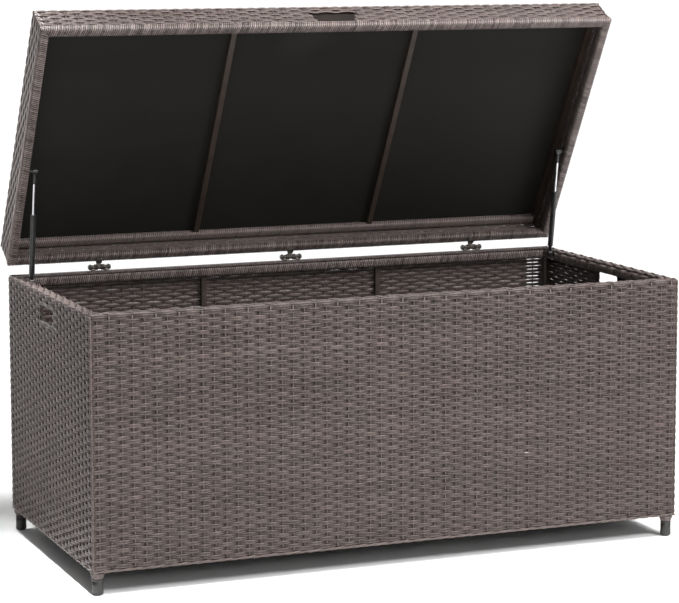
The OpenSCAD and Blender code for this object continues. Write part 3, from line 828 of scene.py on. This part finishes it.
low, high = body_box("hand_hold_trims")
mid = (low + high) / 2
outer_w, outer_h = high[1] - low[1], high[2] - low[2]
depth = PANEL + 0.001
cover = 0.0034          # the strands lie this thick over the binding
turns = 60
count = turns * TURN_STEPS
build = Build()
for sx in (-1, 1):
    inner = outline(HAND_W, HAND_H, HAND_R, count)
    outer = outline(outer_w, outer_h, HAND_R, count)
    section = np.array([(0.0, 0.35), (0.08, 0.0), (0.5, -0.04), (0.92, 0.0), (1.0, 0.35),
                        (0.92, 1.0), (0.5, 1.0), (0.08, 1.0), (0.0, 0.75)])
    phase = np.arange(count) / TURN_STEPS * math.pi
    groove = 1 - 0.10 * (1 - np.abs(np.cos(phase)))
    loop = np.concatenate([np.arange(count), [0]])
    share = section[None, :, 0]
    flat = inner[loop][:, None, :] * (1 - share[..., None]) + outer[loop][:, None, :] * share[..., None]
    middle = (inner[loop] + outer[loop])[:, None, :] / 2
    flat = middle + (flat - middle) * groove[loop][:, None, None]
    deep = (section[None, :, 1] - 0.5) * groove[loop][:, None] + 0.5
    p = np.empty(flat.shape[:2] + (3,))
    face = low[0] if sx < 0 else high[0]
    p[..., 0] = face - sx * (cover + deep * (depth - cover - 0.0001))
    p[..., 1] = mid[1] + flat[..., 0]
    p[..., 2] = mid[2] + flat[..., 1]
    # The binding is tinted near black, a painted shade for the inside of the opening
    tint = np.repeat(rng.normal(-9.0, 1, turns), TURN_STEPS)[loop % count]
    build.strip(p, np.broadcast_to(tint[:, None], p.shape[:2]), caps=False)
shown(build.make("hand_hold_binding", body_place, WOUND), "box", "wrapped_resin", "hand_hold_trims")

# ---- feet ----

LATHE_POINTS = 32


def lathe(build, x, y, profile, tint=0.0):
    """A turned ring. profile is (radius, z) round its section, and closes on its first point."""
    profile = np.array(profile + profile[:1])
    a = np.linspace(0, 2 * math.pi, LATHE_POINTS, endpoint=False)
    p = np.empty((len(profile), LATHE_POINTS, 3))
    p[..., 0] = x + profile[:, None, 0] * np.cos(a)[None, :]
    p[..., 1] = y + profile[:, None, 0] * np.sin(a)[None, :]
    p[..., 2] = profile[:, None, 1]
    build.strip(p, tint, caps=False)


low, high = body_box("corner_posts")
post_r = 0.011          # radius of a corner post
feet = [(x, y) for x in (low[0] + post_r, high[0] - post_r) for y in (low[1] + post_r, high[1] - post_r)]
cap_low, cap_high = body_box("foot_caps")
cap_r = 0.0132          # most radius of a foot cap
z0, z1 = cap_low[2], cap_high[2]
build = Build()
for x, y in feet:
    lathe(build, x, y, [
        (0.0041, z0 + 0.0003), (0.0105, z0), (0.0121, z0 + 0.0004), (0.0130, z0 + 0.0018),
        (cap_r - 0.0001, z0 + 0.0045), (cap_r - 0.0005, z0 + 0.018), (cap_r - 0.0003, z1 - 0.0066),
        (cap_r - 0.0014, z1 - 0.0060), (cap_r - 0.0014, z1 - 0.0046), (cap_r - 0.0001, z1 - 0.0040),
        (cap_r, z1 - 0.0014), (cap_r - 0.0010, z1), (0.0116, z1 - 0.0002), (0.0112, z1 - 0.0030),
        (0.0112, low[2] - GAP), (0.0041, low[2] - GAP)])
shown(build.make("foot_caps_moulded", body_place, PLASTIC), "box", "black_plastic", "foot_caps")

wrap_low, wrap_high = body_box("foot_wraps")
tall = wrap_high[2] - wrap_low[2]
rings = 4               # turns of strand on a foot
steps = rings * 6
build = Build()
for x, y in feet:
    profile = [(0.0114, wrap_low[2])]
    for k in range(steps + 1):
        share = k / steps
        radius = 0.0128 + (0.0169 - 0.0128) * math.sin(math.pi / 2 * share)
        swell = abs(math.sin(math.pi * share * rings))
        profile.append((radius - 0.0012 + 0.0012 * swell ** 0.6, wrap_low[2] + tall * share))
    profile.append((0.0114, wrap_high[2]))
    lathe(build, x, y, profile, tint=rng.normal(0, 1))
shown(build.make("foot_windings", body_place, WOUND), "box", "wrapped_resin", "foot_wraps")

# ---- hinges: bobbin knuckles on their blocks ----

def bobbin(build, x_mid, length, flange, bore):
    """A turned knuckle along the hinge line, wide at both ends and bored through."""
    half = length / 2
    waist = flange - 0.0019
    outside = [(-half, flange - 0.0005), (-half + 0.0005, flange), (-half + 0.0028, flange),
               (-half + 0.0034, flange - 0.0005), (-half + 0.0045, waist)]
    outside += [(-x, r) for x, r in outside[::-1]]
    line = np.array([(-half, bore)] + outside + [(half, bore)])
    turn = np.linspace(0, 2 * math.pi, 33)
    p = np.empty((len(turn), len(line), 3))
    p[..., 0] = x_mid + line[None, :, 0]
    p[..., 1] = line[None, :, 1] * np.sin(turn)[:, None]
    p[..., 2] = line[None, :, 1] * np.cos(turn)[:, None]
    build.strip(p, 0.0, caps=False)


def post(build, x_mid, half_x, y_mid, half_y, levels):
    """An upright block with rounded corners. levels is (height, share of its full size)."""
    ring = []
    for cx, cy, start in ((1, 1, 0), (-1, 1, 90), (-1, -1, 180), (1, -1, 270)):
        for k in range(3):
            a = math.radians(start + 45 * k)
            ring.append((cx * 0.72 + 0.28 * math.cos(a), cy * 0.72 + 0.28 * math.sin(a)))
    ring = np.array(ring)
    p = np.empty((len(levels), len(ring), 3))
    for k, (z, share) in enumerate(levels):
        p[k, :, 0] = x_mid + ring[:, 0] * half_x * share
        p[k, :, 1] = y_mid + ring[:, 1] * half_y * share
        p[k, :, 2] = z
    build.strip(p, 0.0)


def at_hinge(p):
    """Moves points from the hinge line to where it is on the body."""
    return p + HINGE


knuckles_low, knuckles_high = body_box("hinge_body_knuckles")
flange = knuckles_high[2] - HINGE[2] - 0.0001
foot_z = knuckles_low[2] - HINGE[2]
hinge_len = 0.051       # three knuckles and the gaps between them
hinge_out = knuckles_high[0] - hinge_len / 2
knuckle_len = (hinge_len - 0.001) / 3
pin_bore = 0.0031
body_side, lid_side = Build(), Build()
leaf_top = lid_box("hinge_lid_knuckles")[1][2]
leaf_back = lid_box("hinge_lid_knuckles")[0][1]
for x in (-hinge_out, 0.0, hinge_out):
    for sx in (-1, 1):
        x_mid = x + sx * (knuckle_len + 0.0005)
        bobbin(body_side, x_mid, knuckle_len - 0.0002, flange, pin_bore)
        post(body_side, x_mid, 0.0052, 0.0, 0.0056,
             [(foot_z, 1.0), (foot_z + 0.0012, 1.0), (foot_z + 0.0030, 0.8), (-0.0034, 0.8)])
    bobbin(lid_side, x, knuckle_len - 0.0008, flange, pin_bore)
    post(lid_side, x, 0.0060, -0.0026, 0.0034,
         [(0.0034, 0.9), (0.0060, 0.9), (leaf_top - 0.0012, 1.0), (leaf_top, 1.0)])
    post(lid_side, x, knuckle_len / 2 - 0.0004, (leaf_back - 0.0065) / 2, (-leaf_back - 0.0065) / 2,
         [(leaf_top - 0.0030, 0.98), (leaf_top - 0.0026, 1.0), (leaf_top - 0.0001, 1.0)])
shown(body_side.make("hinge_knuckles_outer", at_hinge, HINGE_METAL), "box", "hinge_metal",
      "hinge_body_knuckles")
shown(lid_side.make("hinge_knuckles_middle", lid_place, HINGE_METAL), "lid", "hinge_metal",
      "hinge_lid_knuckles")

# ---- carried-over metal pieces ----

def refinish(material, *nodes, bevel):
    """Gives CAD nodes a better material and soft edges."""
    for name in nodes:
        node = frame["nodes"][name]
        node.data.materials.clear()
        node.data.materials.append(material)
        edge = node.modifiers.new("soft_edges", "BEVEL")
        edge.width = bevel
        edge.segments = 2
        edge.limit_method = "ANGLE"
        edge.angle_limit = math.radians(40)


refinish(PAINT, "corner_posts", "bottom_rails", "floor_crossbars", "rear_uprights", "top_rails",
         "lid_rim_rails", "lid_top_frame", "lid_corner_posts", "lid_cross_tubes", bevel=0.0012)
refinish(LINER, "floor_panel", "lid_liner", bevel=0.0003)
refinish(BOLT, "hinge_pins", "strut_lower_studs", "strut_upper_studs", bevel=0.0004)
refinish(PLASTIC, "glide_front_left", "glide_front_right", "glide_rear_left", "glide_rear_right",
         bevel=0.0004)
for hand in ("left", "right"):
    refinish(STEEL, hand + "_strut_cylinder", hand + "_strut_lower_eye", hand + "_strut_upper_eye",
             bevel=0.0006)
    refinish(CHROME, hand + "_strut_rod", bevel=0.0003)

# ---- camera: the fit of the box's own corners, in metres ----

CAMERA_AT = (-2.2486, -5.5778, 1.4627)
CAMERA_YAW, CAMERA_PITCH, CAMERA_ROLL = 0.3849, 0.1200, -0.0020
CAMERA_LENS, CAMERA_SHIFT = 131.47, -0.10
camera_data = bpy.data.cameras.new("camera")
camera = bpy.data.objects.new("camera", camera_data)
scene.collection.objects.link(camera)
camera_data.sensor_fit = "HORIZONTAL"
camera_data.sensor_width = 36.0
camera_data.lens = CAMERA_LENS
camera_data.shift_y = CAMERA_SHIFT
camera_data.clip_start, camera_data.clip_end = 0.1, 200.0
forward = Vector((math.sin(CAMERA_YAW) * math.cos(CAMERA_PITCH),
                  math.cos(CAMERA_YAW) * math.cos(CAMERA_PITCH), -math.sin(CAMERA_PITCH)))
right = Vector((math.cos(CAMERA_YAW), -math.sin(CAMERA_YAW), 0))
up = right.cross(forward)
turned_right = right * math.cos(CAMERA_ROLL) + up * math.sin(CAMERA_ROLL)
turned_up = -right * math.sin(CAMERA_ROLL) + up * math.cos(CAMERA_ROLL)
axes = Matrix((turned_right, turned_up, -forward)).transposed().to_4x4()
camera.matrix_world = Matrix.Translation(CAMERA_AT) @ axes
scene.camera = camera

# ---- floor and light ----

SKY_LOW, SKY_HIGH, WHITE_BELOW = 0.05, 0.42, 1.1
KEY_WATTS, TOP_WATTS, FILL_WATTS, BACK_WATTS, SIDE_WATTS, RIM_WATTS = 265, 345, 60, 50, 45, 4
floor_build = Build()
across, deep = np.linspace(-9.0, 9.0, 7), np.linspace(-9.0, 2.6, 7)
grid = np.zeros((7, 7, 3))
grid[..., 0], grid[..., 1] = across[:, None], deep[None, :]
floor_build.strip(grid, 0.0, ring=False)
FLOOR, *_, floor_shader = material("pale_floor")
floor_shader.inputs["Base Color"].default_value = (0.93, 0.93, 0.928, 1)
floor_shader.inputs["Roughness"].default_value = 0.9
floor_shader.inputs["Specular IOR Level"].default_value = 0.0
floor = floor_build.make("floor", body_place, FLOOR)

# A dome that is dim at the horizon, brighter overhead, and white beyond the floor's far edge
world = bpy.data.worlds.new("studio")
scene.world = world
world.use_nodes = True
sky, sky_links = world.node_tree.nodes, world.node_tree.links
way = sky.new("ShaderNodeTexCoord")
split = sky.new("ShaderNodeSeparateXYZ")
sky_links.new(way.outputs["Generated"], split.inputs["Vector"])
rise = remap(sky, sky_links, split.outputs["Z"], 0.10, 1.0, SKY_LOW, SKY_HIGH)
rise.node.interpolation_type = "SMOOTHSTEP"
# The side towards the front right is brighter than the far side
lean = sky.new("ShaderNodeVectorMath")
lean.operation = "DOT_PRODUCT"
lean.inputs[1].default_value = (0.85, -0.53, 0.0)
sky_links.new(way.outputs["Generated"], lean.inputs[0])
side_gain = remap(sky, sky_links, lean.outputs["Value"], -1.0, 1.0, 0.12, 1.75)
below = remap(sky, sky_links, split.outputs["Z"], -0.012, 0.0, WHITE_BELOW, 0.0)
strength = arithmetic(sky, sky_links, "MULTIPLY", rise, side_gain)
strength = arithmetic(sky, sky_links, "MAXIMUM", strength, below)
sky_links.new(strength, sky["Background"].inputs["Strength"])
sky["Background"].inputs["Color"].default_value = (1.0, 1.0, 1.0, 1)
scene.view_settings.view_transform = "Standard"


def softbox(name, at, aim, size, watts, spread=180):
    """A rectangular lamp that the camera doesn't see."""
    data = bpy.data.lights.new(name, "AREA")
    data.spread = math.radians(spread)
    data.shape = "RECTANGLE"
    data.size, data.size_y = size
    data.energy = watts
    lamp = bpy.data.objects.new(name, data)
    lamp.location = at
    lamp.visible_camera = False
    lamp.rotation_mode = "QUATERNION"
    lamp.rotation_quaternion = (Vector(aim) - Vector(at)).to_track_quat("-Z", "Y")
    scene.collection.objects.link(lamp)


softbox("key", (2.4, -4.4, 4.6), (0, -0.2, 0.4), (1.6, 1.6), KEY_WATTS)
softbox("overhead", (0.9, -1.2, 4.4), (0.1, -0.2, 0.6), (2.4, 1.2), TOP_WATTS)
softbox("fill", (-1.2, -5.6, 1.9), (0, 0.2, 0.6), (1.6, 1.2), FILL_WATTS)
softbox("backdrop", (2.1, 5.6, 1.9), (0, 0, 0.7), (6.0, 2.6), BACK_WATTS)
softbox("side_backdrop", (-2.7, 5.2, 1.5), (-0.7, 0, 0.7), (3.4, 2.6), SIDE_WATTS)
softbox("rim_light", (-0.90, 0.9, 2.5), (-0.73, 0.06, 0.64), (0.2, 0.4), RIM_WATTS, spread=26)
